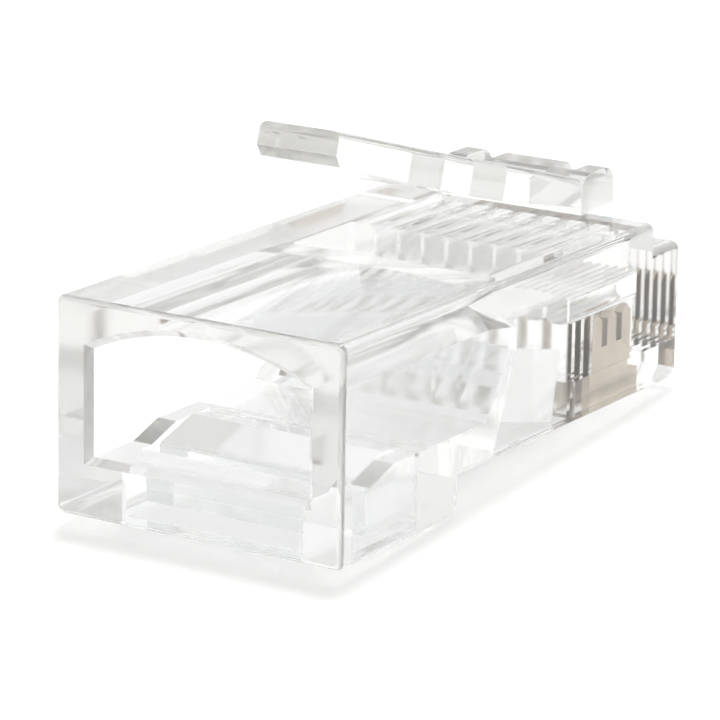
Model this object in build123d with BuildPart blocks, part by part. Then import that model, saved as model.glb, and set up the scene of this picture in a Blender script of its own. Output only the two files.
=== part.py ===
"""Eight-position modular plug for data cable, uncrimped, in millimetres.

X runs across the plug, Y along it from the cable end to the nose, and Z up from the contact side to the latch.
The origin is the middle of the footprint, level with the underside of the thick cable end.
Lengths called starts and stops are measured along Y from the rear face.
"""

import os
from math import cos, radians, sin, tan

from build123d import *

# Body
plug_width = 11.68
plug_length = 23.2
body_height = 7.8
cable_end_length = 7.4
nose_step = 1.45
long_edge_radius = 0.3
end_edge_radius = 0.2
nose_lead_in = 0.45

# Ledge beside the latch root
ledge_length = 2.0
ledge_drop = 1.05

# Latch root, standing on the nose
root_length = 2.4
root_height = 1.5
root_round = 0.7
root_post_width = 0.75
root_notch_width = 1.0
root_notch_depth = 0.4

# Cable cavity
cavity_wall = 1.44
cavity_roof = 0.75
cavity_arch_rise = 1.0
rim_floor = 2.2
rim_length = 2.0
floor_ramp_start = 2.6
floor_ramp_length = 1.5
throat_floor = 2.7
entry_chamfer = 0.25

# Conductor channels
position_count = 8
pitch = 1.02
channel_width = 0.86
channel_height = 1.1
channel_floor = 4.9
channel_corner = 0.25
channel_end_wall = 2.0
funnel_length = 2.0
guide_rib_height = 0.9
guide_rib_end_height = 0.72
guide_rib_setback = 0.3

# Primary strain relief bar, which grips the cable jacket
jacket_bar_inset = 0.9
jacket_window_length = 4.2
jacket_bar_length = 3.25
jacket_bar_underside = 0.3
jacket_bar_crest = 2.8
jacket_bar_crest_reach = 1.25
jacket_bar_slant = 0.2
jacket_bar_edge = 0.15

# Secondary strain relief bar, which grips the conductors
conductor_window_length = 3.65
conductor_window_setback = 0.3
conductor_window_slant = 24
conductor_bar_thickness = 2.65
conductor_bar_droop = 13
comb_wall = 2.05

# Clearances
bar_side_gap = 0.12
bar_end_gap = 0.25
web_gap = 0.06
slot_gap = 0.02
slot_end_gap = 0.05

# Contact blades
blade_thickness = 0.32
blade_length = 3.6
blade_setback = 1.4
blade_foot_height = 1.15
blade_foot_radius = 0.45
blade_proud = 0.45
blade_shoulder = 0.75
crimp_travel = 0.8
tine_count = 3
tine_height = 1.3
tine_gap = 0.4
tine_point = 0.3
tine_below_channel = 0.1

# Contact comb in the nose
comb_groove_width = 0.58
comb_groove_depth = 1.2
comb_groove_length = 6.3

# Latch, which rises toward the cable end
latch_angle = 15.9
latch_web_lift = 0.3
latch_root_thickness = 1.05
latch_shoulder_thickness = 1.35
latch_handle_thickness = 1.2
latch_handle_width = 3.25
latch_shoulder_width = 6.02
latch_shoulder_reach = 5.95
latch_length = 15.4
latch_edge_radius = 0.3
latch_tip_chamfer = 0.35

# Places worked out from the sizes above
rear_y = -plug_length / 2
side_view = Plane(origin=(0, rear_y, 0), x_dir=(0, 1, 0), z_dir=(1, 0, 0))
end_view = Plane(origin=(0, rear_y, 0), x_dir=(1, 0, 0), z_dir=(0, -1, 0))
ledge_start = plug_length - ledge_length
ledge_height = body_height - ledge_drop
root_start = plug_length - root_length
root_top = body_height + root_height
channels_width = position_count * pitch
channel_ceiling = channel_floor + channel_height
channel_stop = plug_length - channel_end_wall
rib_width = pitch - channel_width
blade_stop = plug_length - blade_setback
blade_start = blade_stop - blade_length
blade_bottom = nose_step - blade_proud
foot_top = blade_bottom + blade_foot_height
shank_stop = blade_stop - blade_shoulder
tine_tip = channel_floor - tine_below_channel
tine_root = tine_tip - tine_height
tine_width = (shank_stop - blade_start - (tine_count - 1) * tine_gap) / tine_count
slot_width = blade_thickness + 2 * slot_gap
conductor_window_stop = blade_start - comb_wall
conductor_window_start = conductor_window_stop - conductor_window_length
channel_start = conductor_window_start - conductor_window_setback
cavity_length = channel_start - funnel_length
cavity_width = plug_width - 2 * cavity_wall
cavity_crown_height = body_height - cavity_roof
cavity_side_height = cavity_crown_height - cavity_arch_rise
jacket_window_stop = rim_length + jacket_window_length
jacket_bar_width = cavity_width - 2 * jacket_bar_inset
jacket_window_width = jacket_bar_width + 2 * bar_side_gap


def side_outline(*points, x=0):
    """A straight-sided outline of (distance from the cable end, height), on the plane at x."""
    with BuildSketch(side_view.offset(x)) as outline:
        with BuildLine():
            Polyline(*points, close=True)
        make_face()
    return outline.sketch


def arched_outline(start, width, floor, side_height, crown_height):
    """A flat floor, upright sides and an arched top, seen from the cable end."""
    half = width / 2
    with BuildSketch(end_view.offset(-start)) as outline:
        with BuildLine():
            Polyline((-half, side_height), (-half, floor), (half, floor), (half, side_height))
            ThreePointArc((half, side_height), (0, crown_height), (-half, side_height))
        make_face()
    return outline.sketch


def slots_from_below(width, start, stop):
    """One rectangle for each conductor position, on the underside of the nose."""
    with BuildSketch(Plane.XY.offset(nose_step)) as outline:
        with Locations((0, rear_y + (start + stop) / 2)):
            with GridLocations(pitch, 0, position_count, 1):
                Rectangle(width, stop - start)
    return outline.sketch


os.makedirs("parts", exist_ok=True)

# Housing: the clear moulded body
with BuildPart() as housing:
    body_side = side_outline(
        (0, 0),
        (cable_end_length, 0),
        (cable_end_length, nose_step),
        (plug_length, nose_step),
        (plug_length, ledge_height),
        (ledge_start, ledge_height),
        (ledge_start, body_height),
        (0, body_height),
    )
    extrude(body_side, amount=plug_width / 2, both=True)
    nose_front = housing.faces().sort_by(Axis.Y)[-1]
    chamfer(nose_front.edges().sort_by(Axis.Z)[0], length=nose_lead_in)
    fillet(housing.edges().filter_by(Axis.Y), radius=long_edge_radius)
    rear_face = housing.faces().sort_by(Axis.Y)[0]
    fillet(rear_face.edges(), radius=end_edge_radius)

    # Latch root, with a post at each side and a notch beside each post
    root_side = side_outline(
        (root_start, body_height),
        (ledge_start, body_height),
        (ledge_start, ledge_height),
        (plug_length, ledge_height),
        (plug_length, root_top),
        (root_start, root_top),
    )
    extrude(root_side, amount=latch_shoulder_width / 2, both=True)
    top_face = housing.faces().sort_by(Axis.Z)[-1]
    fillet(top_face.edges().filter_by(Axis.X), radius=root_round)
    notch_x = latch_shoulder_width / 2 - root_post_width - root_notch_width / 2
    with BuildSketch(Plane.XY.offset(root_top)):
        with Locations((0, rear_y + plug_length - root_length / 2)):
            with GridLocations(2 * notch_x, 0, 2, 1):
                Rectangle(root_notch_width, root_length)
    extrude(amount=-root_notch_depth, mode=Mode.SUBTRACT)

    # Cable cavity with its flared entry, and the ramp up past the rim
    cavity_end = arched_outline(0, cavity_width, rim_floor, cavity_side_height, cavity_crown_height)
    extrude(cavity_end, amount=-cavity_length, mode=Mode.SUBTRACT)
    entry = housing.faces().sort_by(Axis.Y)[0].inner_wires()[0]
    chamfer(entry.edges(), length=entry_chamfer)
    floor_side = side_outline(
        (floor_ramp_start, rim_floor),
        (floor_ramp_start + floor_ramp_length, throat_floor),
        (cavity_length, throat_floor),
        (cavity_length, rim_floor),
    )
    extrude(floor_side, amount=cavity_width / 2, both=True)

    # Funnel from the cavity up to the flat row of conductors
    high_end = arched_outline(cavity_length, cavity_width, throat_floor, cavity_side_height, cavity_crown_height)
    low_end = arched_outline(
        channel_start, cavity_width, channel_floor, channel_ceiling - channel_corner, channel_ceiling
    )
    loft([high_end.face(), low_end.face()], ruled=True, mode=Mode.SUBTRACT)

    # The conductors pass over the secondary bar side by side, and then each enters its own channel
    with BuildSketch(end_view.offset(-channel_start)):
        with Locations((0, channel_floor + channel_height / 2)):
            Rectangle(channels_width, channel_height)
    extrude(amount=channel_start - conductor_window_stop, mode=Mode.SUBTRACT)
    with BuildSketch(end_view.offset(-conductor_window_stop)):
        with Locations((0, channel_floor + channel_height / 2)):
            with GridLocations(pitch, 0, position_count, 1):
                RectangleRounded(channel_width, channel_height, channel_corner)
    extrude(amount=conductor_window_stop - channel_stop, mode=Mode.SUBTRACT)

    # Guide ribs on the funnel's ramp comb the conductors apart
    ramp_rise = (channel_floor - throat_floor) / funnel_length
    rib_start = cavity_length + guide_rib_setback
    rib_foot = throat_floor + ramp_rise * guide_rib_setback
    for index in range(position_count - 1):
        rib_side = side_outline(
            (rib_start, rib_foot),
            (channel_start, channel_floor),
            (channel_start, channel_floor + guide_rib_end_height),
            (rib_start, rib_foot + guide_rib_height),
            x=(index + 1 - position_count / 2) * pitch,
        )
        extrude(rib_side, amount=rib_width / 2, both=True)

    # Windows for the two bars, open to the underside
    jacket_window = side_outline(
        (rim_length, 0),
        (jacket_window_stop, 0),
        (jacket_window_stop, cavity_side_height),
        (rim_length, cavity_side_height),
    )
    extrude(jacket_window, amount=jacket_window_width / 2, both=True, mode=Mode.SUBTRACT)
    window_rake = (channel_floor - nose_step) * tan(radians(conductor_window_slant))
    conductor_window = side_outline(
        (conductor_window_start - window_rake, nose_step),
        (conductor_window_stop, nose_step),
        (conductor_window_stop, channel_floor),
        (conductor_window_start, channel_floor),
    )
    extrude(conductor_window, amount=channels_width / 2, both=True, mode=Mode.SUBTRACT)

    # Contact comb: grooves open to the nose, with a stepped slot for each blade up into its channel
    comb_grooves = slots_from_below(comb_groove_width, plug_length - comb_groove_length, plug_length)
    extrude(comb_grooves, amount=comb_groove_depth, mode=Mode.SUBTRACT)
    foot_slots = slots_from_below(slot_width, blade_start - slot_end_gap, blade_stop + slot_end_gap)
    extrude(foot_slots, amount=foot_top + crimp_travel + slot_end_gap - nose_step, mode=Mode.SUBTRACT)
    shank_slots = slots_from_below(slot_width, blade_start - slot_end_gap, shank_stop + slot_end_gap)
    extrude(shank_slots, amount=channel_floor + channel_height / 2 - nose_step, mode=Mode.SUBTRACT)
housing.part.label = "housing"
export_step(housing.part, "parts/housing.step")

# Primary strain relief bar: a wedge whose rear swings up about the web at its front edge
jacket_web = (jacket_window_stop - web_gap, throat_floor - web_gap)
jacket_bar_rear = jacket_web[0] - jacket_bar_length
with BuildPart() as jacket_bar:
    jacket_bar_side = side_outline(
        jacket_web,
        (jacket_web[0] - jacket_bar_crest_reach, jacket_bar_crest),
        (jacket_bar_rear, rim_floor),
        (jacket_bar_rear + jacket_bar_slant, jacket_bar_underside),
        (jacket_web[0], jacket_bar_underside),
    )
    extrude(jacket_bar_side, amount=jacket_bar_width / 2, both=True)
    rear_edges = jacket_bar.edges().filter_by(Axis.X).group_by(Axis.Y)[0]
    fillet(rear_edges, radius=jacket_bar_edge)
jacket_bar.part.label = "jacket_bar"
export_step(jacket_bar.part, "parts/jacket_bar.step")

# Secondary strain relief bar: a block that droops forward from the web at its rear edge
conductor_web = (conductor_window_start + web_gap, channel_floor - web_gap)
conductor_bar_reach = conductor_window_length - web_gap - bar_end_gap
conductor_bar_width = channels_width - 2 * bar_side_gap
heel_reach = -conductor_bar_thickness / tan(radians(90 - conductor_window_slant + conductor_bar_droop))
droop = radians(conductor_bar_droop)
drooping_side = Plane(
    origin=(0, rear_y + conductor_web[0], conductor_web[1]),
    x_dir=(0, cos(droop), -sin(droop)),
    z_dir=(1, 0, 0),
)
with BuildPart() as conductor_bar:
    with BuildSketch(drooping_side):
        with BuildLine():
            Polyline(
                (0, 0),
                (conductor_bar_reach, 0),
                (conductor_bar_reach, -conductor_bar_thickness),
                (heel_reach, -conductor_bar_thickness),
                close=True,
            )
        make_face()
    extrude(amount=conductor_bar_width / 2, both=True)
conductor_bar.part.label = "conductor_bar"
export_step(conductor_bar.part, "parts/conductor_bar.step")

# Contact blades: a rounded foot for the jack's wires, a shank, and tines that pierce the insulation
for index in range(position_count):
    with BuildPart() as contact:
        with BuildSketch(side_view.offset((index - (position_count - 1) / 2) * pitch)):
            with Locations(((blade_start + blade_stop) / 2, (blade_bottom + foot_top) / 2)):
                Rectangle(blade_length, blade_foot_height)
            with Locations(((blade_start + shank_stop) / 2, (foot_top + tine_root) / 2)):
                Rectangle(shank_stop - blade_start, tine_root - foot_top)
            for tine in range(tine_count):
                tine_start = blade_start + tine * (tine_width + tine_gap)
                tine_stop = tine_start + tine_width
                with BuildLine():
                    Polyline(
                        (tine_start, tine_root),
                        (tine_stop, tine_root),
                        (tine_stop, tine_tip - tine_point),
                        ((tine_start + tine_stop) / 2, tine_tip),
                        (tine_start, tine_tip - tine_point),
                        close=True,
                    )
                make_face()
        extrude(amount=blade_thickness / 2, both=True)
        foot_corners = contact.edges().filter_by(Axis.X).group_by(Axis.Z)[0]
        fillet(foot_corners, radius=blade_foot_radius)
    contact.part.label = f"contact_{index + 1}"
    export_step(contact.part, f"parts/contact_{index + 1}.step")

# Latch: sketched along its own rise, from the web at the root to the tip of the handle
latch_rise = radians(latch_angle)
latch_web = (root_start - web_gap, body_height + latch_web_lift)
latch_side = Plane(
    origin=(0, rear_y + latch_web[0], latch_web[1]),
    x_dir=(0, -cos(latch_rise), sin(latch_rise)),
    z_dir=(-1, 0, 0),
)
latch_face = Plane(origin=latch_side.origin, x_dir=(1, 0, 0), z_dir=latch_side.y_dir)
shoulder_underside = latch_root_thickness - latch_shoulder_thickness
handle_underside = latch_root_thickness - latch_handle_thickness
with BuildPart() as latch:
    with BuildSketch(latch_side):
        with BuildLine():
            Polyline(
                (0, 0),
                (latch_shoulder_reach, shoulder_underside),
                (latch_length - latch_tip_chamfer, handle_underside),
                (latch_length, handle_underside + latch_tip_chamfer),
                (latch_length, latch_root_thickness),
                (latch_root_thickness * tan(latch_rise), latch_root_thickness),
                close=True,
            )
        make_face()
    extrude(amount=latch_shoulder_width / 2, both=True)

    # The shoulders stop square to the latch, and the handle goes on between them
    side_cut = (latch_shoulder_width - latch_handle_width) / 2
    with BuildSketch(latch_face):
        with Locations((0, -(latch_shoulder_reach + latch_length) / 2)):
            with GridLocations(latch_handle_width + side_cut, 0, 2, 1):
                Rectangle(side_cut, latch_length - latch_shoulder_reach)
    extrude(amount=latch_root_thickness, both=True, mode=Mode.SUBTRACT)
    top_face = latch.faces().filter_by(Axis(latch_face.origin, latch_face.z_dir)).sort_by(Axis.Z)[-1]
    fillet(top_face.edges().filter_by(Axis(latch_side.origin, latch_side.x_dir)), radius=latch_edge_radius)
latch.part.label = "latch"
export_step(latch.part, "parts/latch.step")
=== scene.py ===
"""Studio view of a clear eight-position modular plug on a white table."""

from math import cos, radians, sin

import bpy
from mathutils import Matrix, Vector

MM = 0.001

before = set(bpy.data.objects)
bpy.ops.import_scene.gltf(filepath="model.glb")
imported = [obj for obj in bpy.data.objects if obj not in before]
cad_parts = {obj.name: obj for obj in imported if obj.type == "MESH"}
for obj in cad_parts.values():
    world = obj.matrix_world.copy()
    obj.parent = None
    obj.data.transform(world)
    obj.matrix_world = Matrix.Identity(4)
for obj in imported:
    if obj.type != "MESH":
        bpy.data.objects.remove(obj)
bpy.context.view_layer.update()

WHITE = (1.0, 1.0, 1.0)
CONTACT_COUNT = 8
SOFT_DETAIL, FINE_DETAIL = 2.0, 3.0

# Clear polycarbonate, faintly blue at its surfaces and warm grey along a deep path
PLASTIC_IOR = 1.585
PLASTIC_TINT = (0.985, 0.994, 0.998)
PLASTIC_DEPTH = (0.56, 0.545, 0.50)
BODY_DENSITY = 17.0
LATCH_DENSITY = 36.0
BODY_ROUGHNESS = 0.075
LATCH_ROUGHNESS = 0.06
POLISH_SCALE = 900.0
POLISH_SWING = 0.4
POLISH_BRIGHTENING = 1.012
FLOW_SCALE = 420.0
FLOW_STRETCH = (1.0, 0.35, 1.0)
FLOW_BUMP = 0.05
FLOW_DEPTH = 0.02 * MM

# The latch root stands on the body from this height up, and its plastic is greyer in colour and rougher
# there
LATCH_ROOT_FOOT = 7.8 * MM
GREYING_BLEND = 0.1 * MM
GREYER_TINT = (0.77, 0.77, 0.755)
GREYING_ROUGHNESS = 0.1

# Thin gold over bronze
GOLD_DARK = (0.50, 0.42, 0.33)
GOLD_LIGHT = (0.64, 0.55, 0.44)
GOLD_SMOOTHEST, GOLD_ROUGHEST = 0.22, 0.42
STREAK_SCALE = 5200.0
STREAK_STRETCH = (1.0, 0.12, 1.0)
STREAK_BUMP = 0.15
STREAK_DEPTH = 0.01 * MM
CLOUD_SCALE = 700.0

# The table touches an uncrimped plug at its step edge and at the front of its contact feet
STEP_EDGE_Y = -4.2 * MM
TABLE_TILT = radians(4.095)
TABLE_SIZE = 1.2
TABLE_GLOW = 0.56
TABLE_ROUGHNESS = 0.4
TABLE_GRAIN_SCALE = 60.0
TABLE_SEEN_DARK, TABLE_SEEN_LIGHT = (0.475, 0.472, 0.462), (0.495, 0.492, 0.482)
TABLE_MATTE_DARK, TABLE_MATTE_LIGHT = (0.93, 0.93, 0.93), (0.95, 0.95, 0.95)

# The photograph's camera, fitted on the plug's edges
CAMERA_AZIMUTH = radians(31.954)
CAMERA_ELEVATION = radians(15.26)
CAMERA_ROLL = radians(0.99)
CAMERA_DISTANCE = 153.17 * MM
CAMERA_TARGET = Vector((-0.23, -0.9, 3.983)) * MM
CAMERA_NEAR, CAMERA_FAR = 0.005, 5.0
FOCAL_LENGTH = 214.62
SENSOR_WIDTH = 36.0

# A soft lamp overhead, in a white room that dims toward the camera
LAMP_PLACE = (-0.02, 0.05, 0.40)
LAMP_SIZE = 0.06
LAMP_POWER = 1.2
ROOM_FILL = 0.45
ROOM_DIM = (0.80, 0.795, 0.775)
ROOM_DIM_START = 0.78

# Light crosses many plastic faces before it leaves
PLASTIC_BOUNCES = 96
GLOSSY_BOUNCES = 48
TRANSPARENT_BOUNCES = 16


def plug_in(tree, socket, value):
    """Links a socket to an output, or sets its value."""
    if isinstance(value, bpy.types.NodeSocket):
        tree.links.new(value, socket)
    else:
        socket.default_value = value


def node(tree, kind, **inputs):
    """A shader node with some of its inputs set or linked; names use _ for a space."""
    made = tree.nodes.new(kind)
    for name, value in inputs.items():
        plug_in(tree, made.inputs[name.replace("_", " ")], value)
    return made


def maths(tree, operation, *values):
    """The result of a Math node."""
    made = tree.nodes.new("ShaderNodeMath")
    made.operation = operation
    for socket, value in zip(made.inputs, values):
        plug_in(tree, socket, value)
    return made.outputs["Value"]


def mix_shaders(tree, factor, first, second):
    """Two shaders mixed by a factor."""
    made = tree.nodes.new("ShaderNodeMixShader")
    for socket, value in zip(made.inputs, (factor, first, second)):
        plug_in(tree, socket, value)
    return made.outputs["Shader"]


def mix_colours(tree, factor, first, second):
    """Two colours mixed by a factor."""
    made = tree.nodes.new("ShaderNodeMix")
    made.data_type = "RGBA"
    plug_in(tree, made.inputs["Factor"], factor)
    colour_inputs = [socket for socket in made.inputs if socket.type == "RGBA"]
    for socket, value in zip(colour_inputs, (first, second)):
        plug_in(tree, socket, value)
    return next(socket for socket in made.outputs if socket.type == "RGBA")


def ramp(tree, fac, *stops):
    """A colour ramp through (position, colour) stops."""
    made = node(tree, "ShaderNodeValToRGB", Fac=fac)
    elements = made.color_ramp.elements
    while len(elements) < len(stops):
        elements.new(0.5)
    for element, (position, colour) in zip(elements, stops):
        element.position = position
        element.color = (*colour, 1)
    return made.outputs["Color"]


def spread(tree, value, low, high):
    """A value from 0..1 spread over low..high."""
    return node(tree, "ShaderNodeMapRange", Value=value, To_Min=low, To_Max=high).outputs["Result"]


def share(tree, value, low, high):
    """How far a value is from low to high, as 0..1."""
    return node(tree, "ShaderNodeMapRange", Value=value, From_Min=low, From_Max=high).outputs["Result"]


def stretched(tree, place, scale):
    """Coordinates scaled along each axis."""
    return node(tree, "ShaderNodeMapping", Vector=place, Scale=scale).outputs["Vector"]


def noise(tree, scale, detail, **place):
    """Noise from 0 to 1, at a Vector where one is given."""
    return node(tree, "ShaderNodeTexNoise", Scale=scale, Detail=detail, **place).outputs["Fac"]


def seen_ray(tree):
    """1 for a ray that shows a surface, straight or by glass and metal, and 0 for one that lights it."""
    path = node(tree, "ShaderNodeLightPath")
    total = path.outputs["Is Camera Ray"]
    for kind in ("Is Glossy Ray", "Is Transmission Ray"):
        total = maths(tree, "MAXIMUM", total, path.outputs[kind])
    return total


def new_material(name):
    """An empty node material with its output, as (material, tree, output)."""
    material = bpy.data.materials.new(name)
    material.use_nodes = True
    tree = material.node_tree
    tree.nodes.clear()
    return material, tree, tree.nodes.new("ShaderNodeOutputMaterial")


def clear_plastic(name, roughness, density, greyed_above=None):
    """Moulded polycarbonate: refracting, faintly rippled, unevenly polished.

    Where a height is given, its colour is greyer and its surface rougher above it.
    """
    material, tree, output = new_material(name)
    place = node(tree, "ShaderNodeTexCoord").outputs["Object"]
    ripple = noise(tree, FLOW_SCALE, SOFT_DETAIL, Vector=stretched(tree, place, FLOW_STRETCH))
    polish = noise(tree, POLISH_SCALE, FINE_DETAIL, Vector=place)
    bump = node(tree, "ShaderNodeBump", Height=ripple, Strength=FLOW_BUMP, Distance=FLOW_DEPTH)
    bright_tint = tuple(min(1.0, channel * POLISH_BRIGHTENING) for channel in PLASTIC_TINT)
    colour = ramp(tree, polish, (0.35, PLASTIC_TINT), (0.65, bright_tint))
    uneven = spread(tree, polish, roughness * (1 - POLISH_SWING), roughness * (1 + POLISH_SWING))
    if greyed_above is not None:
        # Greyer colour and rougher surface above the given height
        height = node(tree, "ShaderNodeSeparateXYZ", Vector=place).outputs["Z"]
        grey_share = share(tree, height, greyed_above, greyed_above + GREYING_BLEND)
        colour = mix_colours(tree, grey_share, colour, (*GREYER_TINT, 1))
        uneven = maths(tree, "MULTIPLY_ADD", grey_share, GREYING_ROUGHNESS, uneven)
    shader = node(
        tree,
        "ShaderNodeBsdfPrincipled",
        Base_Color=colour,
        Roughness=uneven,
        IOR=PLASTIC_IOR,
        Normal=bump.outputs["Normal"],
        Transmission_Weight=1.0,
    )
    tree.links.new(shader.outputs["BSDF"], output.inputs["Surface"])
    depth = node(tree, "ShaderNodeVolumeAbsorption", Color=(*PLASTIC_DEPTH, 1), Density=density)
    tree.links.new(depth.outputs["Volume"], output.inputs["Volume"])
    return material


def gold_plate(name):
    """Gold plating with drawn streaks, in lighter and darker clouds."""
    material, tree, output = new_material(name)
    place = node(tree, "ShaderNodeTexCoord").outputs["Object"]
    streak = noise(tree, STREAK_SCALE, FINE_DETAIL, Vector=stretched(tree, place, STREAK_STRETCH))
    cloud = noise(tree, CLOUD_SCALE, SOFT_DETAIL, Vector=place)
    bump = node(tree, "ShaderNodeBump", Height=streak, Strength=STREAK_BUMP, Distance=STREAK_DEPTH)
    shader = node(
        tree,
        "ShaderNodeBsdfPrincipled",
        Base_Color=ramp(tree, cloud, (0.3, GOLD_DARK), (0.7, GOLD_LIGHT)),
        Metallic=1.0,
        Roughness=spread(tree, streak, GOLD_SMOOTHEST, GOLD_ROUGHEST),
        Normal=bump.outputs["Normal"],
    )
    tree.links.new(shader.outputs["BSDF"], output.inputs["Surface"])
    return material


def finish_node(name, material):
    """Gives every slot of a CAD node one better material."""
    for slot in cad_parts[name].material_slots:
        slot.material = material


# Plug
body_plastic = clear_plastic("clear_body", BODY_ROUGHNESS, BODY_DENSITY, greyed_above=LATCH_ROOT_FOOT)
latch_plastic = clear_plastic("clear_latch", LATCH_ROUGHNESS, LATCH_DENSITY)
bar_plastic = clear_plastic("clear_bar", BODY_ROUGHNESS, BODY_DENSITY)
gold = gold_plate("gold")
finish_node("housing", body_plastic)
finish_node("latch", latch_plastic)
finish_node("jacket_bar", bar_plastic)
finish_node("conductor_bar", bar_plastic)
for index in range(1, CONTACT_COUNT + 1):
    finish_node(f"contact_{index}", gold)


# Table, which glows where it is seen and is plain matte where it lights the plug
table_mesh = bpy.data.meshes.new("table")
half = TABLE_SIZE / 2
corners = [(-half, -half, 0), (half, -half, 0), (half, half, 0), (-half, half, 0)]
table_mesh.from_pydata(corners, [], [(0, 1, 2, 3)])
table = bpy.data.objects.new("table", table_mesh)
table.location = (0, STEP_EDGE_Y, 0)
table.rotation_euler = (TABLE_TILT, 0, 0)
bpy.context.collection.objects.link(table)

white_table, tree, output = new_material("white_table")
grain = noise(tree, TABLE_GRAIN_SCALE, SOFT_DETAIL)
matte_colour = ramp(tree, grain, (0, TABLE_MATTE_DARK), (1, TABLE_MATTE_LIGHT))
matte = node(tree, "ShaderNodeBsdfDiffuse", Color=matte_colour)
shown = node(
    tree,
    "ShaderNodeBsdfPrincipled",
    Base_Color=ramp(tree, grain, (0, TABLE_SEEN_DARK), (1, TABLE_SEEN_LIGHT)),
    Roughness=TABLE_ROUGHNESS,
    Emission_Color=(*WHITE, 1),
    Emission_Strength=TABLE_GLOW,
)
surface = mix_shaders(tree, seen_ray(tree), matte.outputs["BSDF"], shown.outputs["BSDF"])
tree.links.new(surface, output.inputs["Surface"])
table_mesh.materials.append(white_table)


# Camera
back = Vector(
    (
        sin(CAMERA_AZIMUTH) * cos(CAMERA_ELEVATION),
        -cos(CAMERA_AZIMUTH) * cos(CAMERA_ELEVATION),
        sin(CAMERA_ELEVATION),
    )
)
level = Vector((cos(CAMERA_AZIMUTH), sin(CAMERA_AZIMUTH), 0))
upright = back.cross(level)
right = level * cos(CAMERA_ROLL) + upright * sin(CAMERA_ROLL)
up = upright * cos(CAMERA_ROLL) - level * sin(CAMERA_ROLL)
camera_data = bpy.data.cameras.new("camera")
camera_data.lens = FOCAL_LENGTH
camera_data.sensor_width = SENSOR_WIDTH
camera_data.clip_start = CAMERA_NEAR
camera_data.clip_end = CAMERA_FAR
camera = bpy.data.objects.new("camera", camera_data)
rotation = Matrix((right, up, back)).transposed()
camera.matrix_world = Matrix.Translation(CAMERA_TARGET + back * CAMERA_DISTANCE) @ rotation.to_4x4()
bpy.context.collection.objects.link(camera)
bpy.context.scene.camera = camera


# Lamp, aimed at the plug
lamp_data = bpy.data.lights.new("overhead", "AREA")
lamp_data.size = LAMP_SIZE
lamp_data.energy = LAMP_POWER
lamp = bpy.data.objects.new("overhead", lamp_data)
lamp.location = LAMP_PLACE
lamp.rotation_euler = (-Vector(LAMP_PLACE)).to_track_quat("-Z", "Y").to_euler()
bpy.context.collection.objects.link(lamp)


# Room, which is seen at full strength and lights the plug at a lower one
world = bpy.data.worlds.new("studio")
bpy.context.scene.world = world
world.use_nodes = True
tree = world.node_tree
tree.nodes.clear()
output = tree.nodes.new("ShaderNodeOutputWorld")
toward = tree.nodes.new("ShaderNodeVectorMath")
toward.operation = "DOT_PRODUCT"
tree.links.new(node(tree, "ShaderNodeTexCoord").outputs["Generated"], toward.inputs[0])
toward.inputs[1].default_value = tuple(back)
side = share(tree, toward.outputs["Value"], -1.0, 1.0)
room = ramp(tree, side, (0.0, WHITE), (ROOM_DIM_START, WHITE), (1.0, ROOM_DIM))
backdrop = node(tree, "ShaderNodeBackground", Color=room, Strength=1.0)
fill = node(tree, "ShaderNodeBackground", Color=(*WHITE, 1), Strength=ROOM_FILL)
mixed = mix_shaders(tree, seen_ray(tree), fill.outputs["Background"], backdrop.outputs["Background"])
tree.links.new(mixed, output.inputs["Surface"])


scene = bpy.context.scene
scene.view_settings.view_transform = "Standard"
scene.cycles.max_bounces = PLASTIC_BOUNCES
scene.cycles.transmission_bounces = PLASTIC_BOUNCES
scene.cycles.glossy_bounces = GLOSSY_BOUNCES
scene.cycles.transparent_max_bounces = TRANSPARENT_BOUNCES
scene.cycles.use_denoising = True
